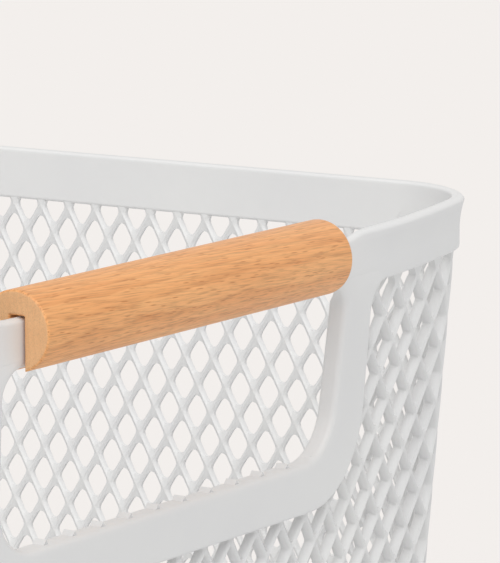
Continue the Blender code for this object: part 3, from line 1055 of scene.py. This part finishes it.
@dataclass
class MeshWalls:
    """The diamond mesh of the four walls: rounded rhombic openings on one lattice all the way round.

    Each row is half_rise above the last, counted from row_zero, and the ends' rows lie end_drop lower.
    The rows that the rim and the floor hide are only hidden_rise and hidden_drop high. An opening's rim
    is bevelled over edge of the wall's thickness, and sunk keeps the mesh behind the faces round it.
    """

    shape: BasketShape
    frames: OpeningFrame
    ends: MeshGauge = MeshGauge(wall=0.0031, strand=0.0014, rounding=0.0008)
    sides: MeshGauge = MeshGauge(wall=0.0019, strand=0.0015, rounding=0.0017)
    half_rise: float = 0.0073177
    row_zero: float = 0.1388
    end_drop: float = 0.0012
    first_row: int = -16
    last_row: int = 7
    edge: float = 0.00045
    least_share: float = 0.3
    most_share: float = 0.9
    sunk: float = 0.00004
    hidden_rise: float = 0.0015
    hidden_drop: float = 0.004
    edge_share: float = 0.22
    tip_share: float = 0.09

    def opening_share(self, half_column: np.ndarray, strand: float) -> np.ndarray:
        """How large the opening is in its cell, so that the strands keep their width."""
        reach = half_column * self.half_rise / np.hypot(half_column, self.half_rise)
        return np.clip(1 - strand / 2 / reach, self.least_share, self.most_share)

    def cell_ring(self) -> np.ndarray:
        """Sixteen points on a unit cell's edge.

        Returns:
            Its corners, two more points on each side of a tip and one on each side of a side corner.
        """
        corners = np.array([(1, 0), (0, 1), (-1, 0), (0, -1)], float)
        points = []
        for index in range(4):
            before, near, after = corners[index - 1], corners[index], corners[(index + 1) % 4]
            shares = (self.edge_share, self.tip_share) if index % 2 else (self.edge_share,)
            points += [near + (before - near) * share for share in shares]
            points.append(near)
            points += [near + (after - near) * share for share in reversed(shares)]
        return np.array(points)

    def opening_ring(self, share: float, half_column: float, radius: float) -> np.ndarray:
        """Sixteen points on an opening's rounded outline, in unit cell sizes.

        Args:
            share: The opening's size in its cell before its corners are rounded.
            half_column: Half the cell's width.
            radius: What its corners are rounded to.

        Returns:
            The points: five round each tip and three round each side corner.
        """
        reach = np.array((half_column, self.half_rise))
        corners = np.array([(1, 0), (0, 1), (-1, 0), (0, -1)], float) * reach * share
        points = []
        for index in range(4):
            before, near, after = corners[index - 1], corners[index], corners[(index + 1) % 4]
            back = (before - near) / np.linalg.norm(before - near)
            on = (after - near) / np.linalg.norm(after - near)
            half = math.acos(float(np.clip(np.dot(back, on), -1, 1))) / 2
            centre = near * (1 - radius / math.sin(half) / np.linalg.norm(near))
            first = near + back * radius / math.tan(half) - centre
            last = near + on * radius / math.tan(half) - centre
            steps = 4 if index % 2 else 2
            turn = (math.pi - 2 * half) / steps
            for step in range(steps + 1):
                weight = math.sin((steps - step) * turn), math.sin(step * turn)
                points.append(centre + (first * weight[0] + last * weight[1]) / math.sin(steps * turn))
        return np.array(points) / reach

    def tile(self, is_open: bool, half_column: float, gauge: MeshGauge) -> bpy.types.Object:
        """One cell of the lattice, in unit sizes: a diamond with its opening, or a blank one.

        Args:
            is_open: True for a cell with its opening.
            half_column: Half the cell's real width.
            gauge: The wall that it belongs to.

        Returns:
            An object that stands for the cell.
        """
        cell = self.cell_ring()
        rows = [(cell, 0.0)]
        if is_open:
            share = float(self.opening_share(half_column, gauge.strand))
            opening = self.opening_ring(share, half_column, gauge.rounding)
            slope = self.edge / gauge.wall
            rows += [(opening, slope), (opening, 1 - slope)]
        rows.append((cell, 1.0))
        count = len(cell)
        points = np.concatenate([np.column_stack((ring, np.full(count, level))) for ring, level in rows])
        faces = []
        if is_open:
            for start in range(0, (len(rows) - 1) * count, count):
                for index in range(count):
                    after = start + (index + 1) % count
                    faces.append((start + index, after, count + after, start + count + index))
        else:
            faces = [tuple(range(count)), tuple(reversed(range(count, 2 * count)))]
        mesh = bpy.data.meshes.new("diamond")
        mesh.from_pydata([tuple(point) for point in points], [], faces)
        return link_object("open diamond" if is_open else "blank diamond", mesh)

    def level(self, row: np.ndarray) -> np.ndarray:
        """Height of rows, with what the rim and the floor hide drawn in.

        Args:
            row: The rows, counted from the one at row_zero.

        Returns:
            Their heights.
        """
        top, bottom = self.last_row + 1, self.first_row - 1
        inside = self.row_zero + np.clip(row, bottom, top) * self.half_rise
        above = np.maximum(row - top, 0.0) * self.hidden_rise
        below = np.maximum(bottom - row, 0.0) * self.hidden_drop
        return inside + above - below

    def cells(self, centre: int, reach: int, has_frame: bool) -> bpy.types.Mesh:
        """The pattern's points for one wall.

        Args:
            centre: The station at the wall's middle.
            reach: How many stations the wall has each way.
            has_frame: True on an end wall, where the frame takes the place of some diamonds.

        Returns:
            A mesh of points in stations and rows, with the attribute "open".
        """
        places, is_open = [], []
        for row in range(self.first_row - 1, self.last_row + 2):
            for column in range(-reach, reach + 1):
                if (centre + column + row) % 2:
                    continue
                y, z = float(self.shape.end_place(abs(column))), float(self.level(row)) - self.end_drop
                on_flat = has_frame and abs(column) <= self.shape.end_stations
                if on_flat and self.frames.covers(y, z, self.shape.end_step, self.half_rise):
                    continue
                places.append((column, row, 0.0))
                is_open.append(self.first_row <= row <= self.last_row)
        mesh = bpy.data.meshes.new("pattern points")
        mesh.from_pydata(places, [], [])
        marks = mesh.attributes.new("open", "BOOLEAN", "POINT")
        marks.data.foreach_set("value", is_open)
        return mesh

    def close(
        self, mesh: bpy.types.Mesh, half_pitch: float, wall: float
    ) -> tuple[np.ndarray, list[tuple[int, ...]]]:
        """Joins the front and back faces round the wall's edge.

        Args:
            mesh: The flat pattern, open round its edge.
            half_pitch: Width of a station in it.
            wall: Its thickness.

        Returns:
            The points in stations, rows and share of the wall, and the faces.
        """
        count = len(mesh.vertices)
        flat = np.empty(count * 3)
        mesh.vertices.foreach_get("co", flat)
        unit = flat.reshape(-1, 3) / (half_pitch, self.half_rise, wall)
        faces = [tuple(face.vertices) for face in mesh.polygons]
        near = 1 / LATTICE_FINENESS
        keys = [(round(a * LATTICE_FINENESS), round(b * LATTICE_FINENESS)) for a, b in unit[:, :2]]
        backs = {key: index for index, key in enumerate(keys) if unit[index, 2] > 1 - near}
        used: dict[tuple[int, int], int] = {}
        for face in faces:
            for index, corner in enumerate(face):
                edge = tuple(sorted((corner, face[(index + 1) % len(face)])))
                used[edge] = used.get(edge, 0) + 1
        for (a, b), times in used.items():
            if times == 1 and unit[a, 2] < near and unit[b, 2] < near:
                faces.append((a, b, backs[keys[b]], backs[keys[a]]))
        return unit, faces

    def wrap(self, unit: np.ndarray, centre: int, half_pitch: float, gauge: MeshGauge) -> np.ndarray:
        """Bends the flat pattern round the basket.

        Args:
            unit: Stations from the wall's middle, rows and share of the wall, one row a point.
            centre: The station at the wall's middle.
            half_pitch: Width of a station in the flat pattern.
            gauge: The wall that it becomes.

        Returns:
            The points in metres.
        """
        shape = self.shape
        station, row, share = unit[:, 0] + centre, unit[:, 1], unit[:, 2]
        # Each point stays with its diamond, whose opening grows or shrinks to keep the strands' width.
        plus, minus = np.round((station + row) / 2), np.round((station - row) / 2)
        home_station, home_row = plus + minus, plus - minus
        offset_u, offset_v = station - home_station, row - home_row
        size = np.abs(offset_u) + np.abs(offset_v)
        drawn = float(self.opening_share(half_pitch, gauge.strand))
        wanted = self.opening_share(shape.column_width(home_station, self.level(home_row)), gauge.strand)
        inside = size * wanted / drawn
        outside = wanted + (size - drawn) * (1 - wanted) / (1 - drawn)
        grown = np.where(size < drawn, inside, outside) / np.maximum(size, 1e-9)
        station, row = home_station + offset_u * grown, home_row + offset_v * grown
        # The ends' rows lie a little lower than the sides', and the corners lead from one to the other.
        dropped = 1 - eased((shape.from_end(station) - shape.end_stations) / shape.corner_stations)
        height = self.level(row) - self.end_drop * dropped
        face = shape.wall_face(height)
        spot, out = shape.place(station, shape.band_proud, face)
        thickness = gauge.wall - (gauge.wall - shape.band_wall) * shape.depth_share(height) - self.sunk
        spot = spot - out * (share * thickness)[:, None]
        return np.column_stack((spot, height))

    def build(self, tree: MeshTree, material: bpy.types.Material) -> list[bpy.types.Object]:
        """The four walls.

        Args:
            tree: The tree that lays the diamonds.
            material: The moulding's plastic.

        Returns:
            The four pieces.
        """
        shape = self.shape
        end_reach = shape.end_stations + shape.corner_stations
        walls = (
            ("mesh_end_right", 0, end_reach, True),
            ("mesh_side_back", shape.quarter, shape.side_stations - 1, False),
            ("mesh_end_left", 2 * shape.quarter, end_reach, True),
            ("mesh_side_front", 3 * shape.quarter, shape.side_stations - 1, False),
        )
        pieces = []
        for name, centre, reach, has_frame in walls:
            half_pitch = shape.end_step if has_frame else shape.side_step
            gauge = self.ends if has_frame else self.sides
            tiles = [self.tile(is_open, half_pitch, gauge) for is_open in (True, False)]
            values = {
                "Half pitch": half_pitch,
                "Half rise": self.half_rise,
                "Wall": gauge.wall,
                "Open diamond": tiles[0],
                "Blank diamond": tiles[1],
                "Plastic": material,
            }
            flat = tree.evaluate(self.cells(centre, reach, has_frame), values)
            for made in tiles:
                bpy.data.objects.remove(made)
            unit, faces = self.close(flat, half_pitch, gauge.wall)
            mesh = make_mesh(name, self.wrap(unit, centre, half_pitch, gauge), faces)
            pieces.append(add_piece(name, mesh, material))
        return pieces


@dataclass
class FloorPan:
    """The closed floor with its foot ring, and the low plain wall that carries the mesh."""

    shape: BasketShape
    floor: float = 0.0028
    bottom_radius: float = 0.007
    inner_radius: float = 0.004
    foot_width: float = 0.006
    foot_height: float = 0.0012
    skirt: float = 0.0144
    proud: float = 0.00003
    top_edge: float = 0.0003
    arc_steps: int = 8

    def build(self, material: bpy.types.Material) -> bpy.types.Object:
        """The floor and its low wall as one piece.

        Args:
            material: The moulding's plastic.

        Returns:
            The piece.
        """
        shape = self.shape
        station = RimBand(shape).stations()
        low = shape.wall_face(self.bottom_radius)
        under = shape.band_proud + self.bottom_radius
        out, inner = shape.band_proud - self.proud, shape.inner
        corner = self.foot_height + self.floor + self.inner_radius
        section = [
            (under + self.foot_width + self.foot_height / 2, self.foot_height, low),
            (under + self.foot_width, 0.0, low),
            (under, 0.0, low),
        ]
        bend, top = quarter_turn(self.arc_steps), shape.wall_face(self.skirt)
        for sine, cosine in bend[1:]:
            depth = under - self.proud - self.bottom_radius * sine
            section.append((depth, self.bottom_radius * (1 - cosine), low))
        section += [
            (out, self.skirt - self.top_edge, top),
            (out + self.top_edge, self.skirt, top),
            (inner - self.top_edge, self.skirt, top),
            (inner, self.skirt - self.top_edge, top),
        ]
        for sine, cosine in bend:
            depth = inner + self.inner_radius * (1 - cosine)
            section.append((depth, corner - self.inner_radius * sine, shape.wall_face(corner)))
        rings = []
        for depth, height, face in section:
            spot, _ = shape.place(station, depth, face)
            rings.append(np.column_stack((spot, np.full(len(station), height))))
        mesh = loft("floor_pan", np.array(rings), False)
        return add_piece("floor_pan", mesh, material)


@dataclass
class WoodGrip:
    """A beech dowel with rounded ends, slotted from below to sit over the bar."""

    end: End
    slot_front: float = 0.0024
    slot_back: float = 0.00138
    slot_top: float = 0.0034
    edge: float = 0.0007
    slot_corner: float = 0.0004
    cap_edge: float = 0.0003
    arc_steps: int = 88
    corner_steps: int = 3
    edge_steps: int = 5

    @property
    def node(self) -> str:
        """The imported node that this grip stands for."""
        return f"wood_grip_{self.end.name.lower()}"

    def section(self, radius: float, inset: float) -> np.ndarray:
        """The slotted section, seen from the end.

        Args:
            radius: The dowel's radius.
            inset: The distance by which the section is drawn in.

        Returns:
            Its points as outward X and Z from the dowel's axis.
        """
        front, back, top = self.slot_front + inset, -self.slot_back - inset, self.slot_top + inset
        start = math.degrees(math.asin(front / (radius - inset))) - 90
        stop = 270 - math.degrees(math.asin(-back / (radius - inset)))
        corner, steps = self.slot_corner, self.corner_steps
        runs = (
            arc((0.0, 0.0), radius - inset, start, stop, self.arc_steps),
            arc((back + corner, top - corner), corner, 180, 90, steps),
            arc((front - corner, top - corner), corner, 90, 0, steps),
        )
        return np.concatenate(runs)

    def build(self, material: bpy.types.Material) -> bpy.types.Object:
        """The grip as one piece.

        Args:
            material: The beech.

        Returns:
            The piece.
        """
        low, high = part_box(self.node)
        radius = (high.x - low.x) / 2
        middle = (low + high) / 2
        half = (high.y - low.y) / 2
        axis = Vector((middle.x, middle.y, high.z - radius))
        rings = []
        for side in (-1, 1):
            profile = [(self.edge + self.cap_edge, half)]
            for sine, cosine in quarter_turn(self.edge_steps):
                profile.append((self.edge * (1 - sine), half - self.edge * (1 - cosine)))
            for inset, reach in profile if side < 0 else reversed(profile):
                outline = self.section(radius, inset)
                along = np.full(len(outline), axis.y + side * reach)
                across = axis.x + self.end.value * outline[:, 0]
                rings.append(np.column_stack((across, along, axis.z + outline[:, 1])))
        mesh = loft(self.node, np.array(rings), False)
        return add_piece(f"beech_{self.node}", mesh, material, self.node)


@dataclass
class GripScrew:
    """A countersunk wood screw with a cross recess, its head towards the inside of the basket."""

    end: End
    number: int
    shank: float = 0.003
    head: float = 0.0056
    head_rim: float = 0.0003
    head_edge: float = 0.0002
    face_share: float = 0.35
    face_dips: tuple[float, float, float] = (0.000024, 0.00002, 0.00012)
    tip: float = 0.003
    point: float = 0.0001
    point_shares: tuple[float, float] = (0.12, 0.02)
    drive_span: float = 0.003
    drive_width: float = 0.0007
    drive_depth: float = 0.0009
    drive_taper: tuple[float, float] = (0.38, 0.8)
    sides: int = 40

    @property
    def node(self) -> str:
        """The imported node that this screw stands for."""
        return f"grip_screw_{self.end.name.lower()}_{self.number}"

    def cross(self, name: str) -> bpy.types.Object:
        """The drive's cutter: a tapered cross, its top above the head.

        Args:
            name: Its name.

        Returns:
            The cutter.
        """
        shape = bmesh.new()
        low, high = self.drive_taper
        turn = Matrix.Rotation(math.pi / 4, 4, "Z")
        for size in ((self.drive_span, self.drive_width), (self.drive_width, self.drive_span)):
            made = bmesh.ops.create_cone(
                shape, cap_ends=True, segments=4, radius1=low, radius2=high, depth=2.0, matrix=turn
            )
            bmesh.ops.scale(shape, verts=made["verts"], vec=Vector((*size, self.drive_depth)))
        mesh = bpy.data.meshes.new(name)
        shape.to_mesh(mesh)
        shape.free()
        return link_object(name, mesh)

    def build(self, material: bpy.types.Material) -> bpy.types.Object:
        """The screw as one piece.

        Args:
            material: The plated steel.

        Returns:
            The piece.
        """
        low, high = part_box(self.node)
        middle = (low + high) / 2
        length = high.x - low.x
        shank, head = self.shank / 2, self.head / 2
        cone = head - shank
        inner_dip, outer_dip, rim_dip = self.face_dips
        blunt, end = self.point_shares
        profile = [
            (head * self.face_share, -inner_dip),
            (head - self.head_edge, -outer_dip),
            (head, -rim_dip),
            (head, -self.head_rim),
            (shank, -self.head_rim - cone),
            (shank, -(length - self.tip)),
            (shank * blunt, -length + self.point),
            (shank * end, -length),
        ]
        turn = np.linspace(0, 2 * math.pi, self.sides, endpoint=False)
        rings = [
            np.column_stack((radius * np.cos(turn), radius * np.sin(turn), np.full(self.sides, depth)))
            for radius, depth in profile
        ]
        blank = link_object(self.node + " blank", loft(self.node, np.array(rings), False))
        cutter = self.cross(self.node + " drive")
        cut = blank.modifiers.new("drive", "BOOLEAN")
        cut.object = cutter
        # The cutter's two bars cross each other.
        cut.use_self = True
        mesh = evaluated_mesh(blank)
        blank.modifiers.remove(cut)
        for spare in (blank, cutter):
            bpy.data.objects.remove(spare)
        top = low.x if self.end is End.RIGHT else high.x
        turned = Matrix.Rotation(-self.end.value * math.pi / 2, 4, "Y")
        mesh.transform(Matrix.Translation((top, middle.y, middle.z)) @ turned)
        mesh.shade_smooth()
        mesh.set_sharp_from_angle(angle=math.radians(SMOOTH_DEGREES / 2))
        return add_piece(f"steel_{self.node}", mesh, material, self.node)


@dataclass
class Studio:
    """A pale seamless floor, an even sky of soft light, one broad lamp above, and the camera."""

    floor_colour: str = "f5f1ee"
    bounce_colour: str = "eeeeee"
    backdrop: str = "f5f1ee"
    floor_size: float = 24.0
    floor_roughness: float = 0.9
    sky: float = 0.56
    lamp: float = 1.66
    lamp_angle_degrees: float = 60.0
    lamp_tilt_degrees: float = 37.0
    lamp_turn_degrees: float = 26.0
    camera_place: tuple[float, float, float] = (0.7425, -0.81826, 0.36002)
    camera_down_degrees: float = 9.0937
    camera_turn_degrees: float = 32.687
    focal_pixels: float = 4417.11
    sensor_mm: float = 36.0
    clip: tuple[float, float] = (0.01, 100.0)

    def floor(self) -> bpy.types.Object:
        """The floor that the basket stands on.

        Returns:
            The floor.
        """
        shape = bmesh.new()
        bmesh.ops.create_grid(shape, x_segments=1, y_segments=1, size=self.floor_size / 2)
        mesh = bpy.data.meshes.new("studio_floor")
        shape.to_mesh(mesh)
        shape.free()
        made = bpy.data.materials.new("matt studio floor")
        made.use_nodes = True
        tree = made.node_tree
        shader = tree.nodes["Principled BSDF"]
        # The floor looks warm, but what it throws back on the white plastic is neutral.
        seen = add_node(tree, "ShaderNodeLightPath").outputs["Is Camera Ray"]
        colours = {0: seen, 6: linear(self.bounce_colour), 7: linear(self.floor_colour)}
        shown = add_node(tree, "ShaderNodeMix", colours, data_type="RGBA")
        tree.links.new(shown.outputs[2], shader.inputs["Base Color"])
        shader.inputs["Roughness"].default_value = self.floor_roughness
        shader.inputs["Specular IOR Level"].default_value = 0.0
        mesh.materials.append(made)
        floor = link_object("studio_floor", mesh)
        return floor

    def world(self) -> None:
        """An even sky that lights the basket, and the backdrop's colour where the camera sees it."""
        world = bpy.data.worlds.new("studio sky")
        bpy.context.scene.world = world
        world.use_nodes = True
        tree = world.node_tree
        tree.nodes.clear()
        path = add_node(tree, "ShaderNodeLightPath")
        light = add_node(tree, "ShaderNodeBackground", {"Color": grey(1.0), "Strength": self.sky})
        shown = add_node(tree, "ShaderNodeBackground", {"Color": linear(self.backdrop), "Strength": 1.0})
        direct = {0: path.outputs["Is Camera Ray"], 1: path.outputs["Is Glossy Ray"]}
        seen = add_node(tree, "ShaderNodeMath", direct, operation="MAXIMUM")
        either = {0: seen.outputs[0], 1: path.outputs["Is Transmission Ray"]}
        through = add_node(tree, "ShaderNodeMath", either, operation="MAXIMUM")
        blend = {0: through.outputs[0], 1: light.outputs[0], 2: shown.outputs[0]}
        mixed = add_node(tree, "ShaderNodeMixShader", blend)
        add_node(tree, "ShaderNodeOutputWorld", {0: mixed.outputs[0]})

    def lights(self) -> None:
        """One broad soft lamp from above."""
        lamp = bpy.data.lights.new("soft overhead", "SUN")
        lamp.energy = self.lamp
        lamp.angle = math.radians(self.lamp_angle_degrees)
        made = link_object("soft overhead", lamp)
        tilt, turn = math.radians(self.lamp_tilt_degrees), math.radians(self.lamp_turn_degrees)
        made.rotation_euler = (tilt, 0.0, turn)

    def camera(self) -> None:
        """The camera at the photograph's place."""
        data = bpy.data.cameras.new("camera")
        data.sensor_width = self.sensor_mm
        # The sensor's width spans the photograph's longer side, which is its height.
        data.lens = self.focal_pixels * self.sensor_mm / IMAGE_HEIGHT
        data.clip_start, data.clip_end = self.clip
        made = link_object("camera", data)
        made.location = self.camera_place
        tilt = math.pi / 2 - math.radians(self.camera_down_degrees)
        made.rotation_euler = (tilt, 0.0, math.radians(self.camera_turn_degrees))
        bpy.context.scene.camera = made

    def build(self) -> None:
        """Sets up floor, sky, lamp, camera and the plain view transform."""
        self.floor()
        self.world()
        self.lights()
        self.camera()
        bpy.context.scene.view_settings.view_transform = "Standard"


def main() -> None:
    """Builds the moulding, the grips, their screws and the studio."""
    logging.basicConfig(level=logging.INFO, format="%(name)s: %(message)s")
    plastic = MouldedPolypropylene("moulded white polypropylene").build()
    beech = OiledBeech("oiled turned beech").build()
    steel = ZincPlatedSteel("zinc plated steel").build()
    shape = BasketShape.from_frame(RimBand.flare)
    frames = OpeningFrame(shape)
    RimBand(shape).build(plastic)
    MeshWalls(shape, frames).build(MeshTree(), plastic)
    FloorPan(shape).build(plastic)
    for end in End:
        frames.build(end, plastic)
        WoodGrip(end).build(beech)
        for number in (1, 2):
            GripScrew(end, number).build(steel)
    Studio().build()


if __name__ == "__main__":
    main()
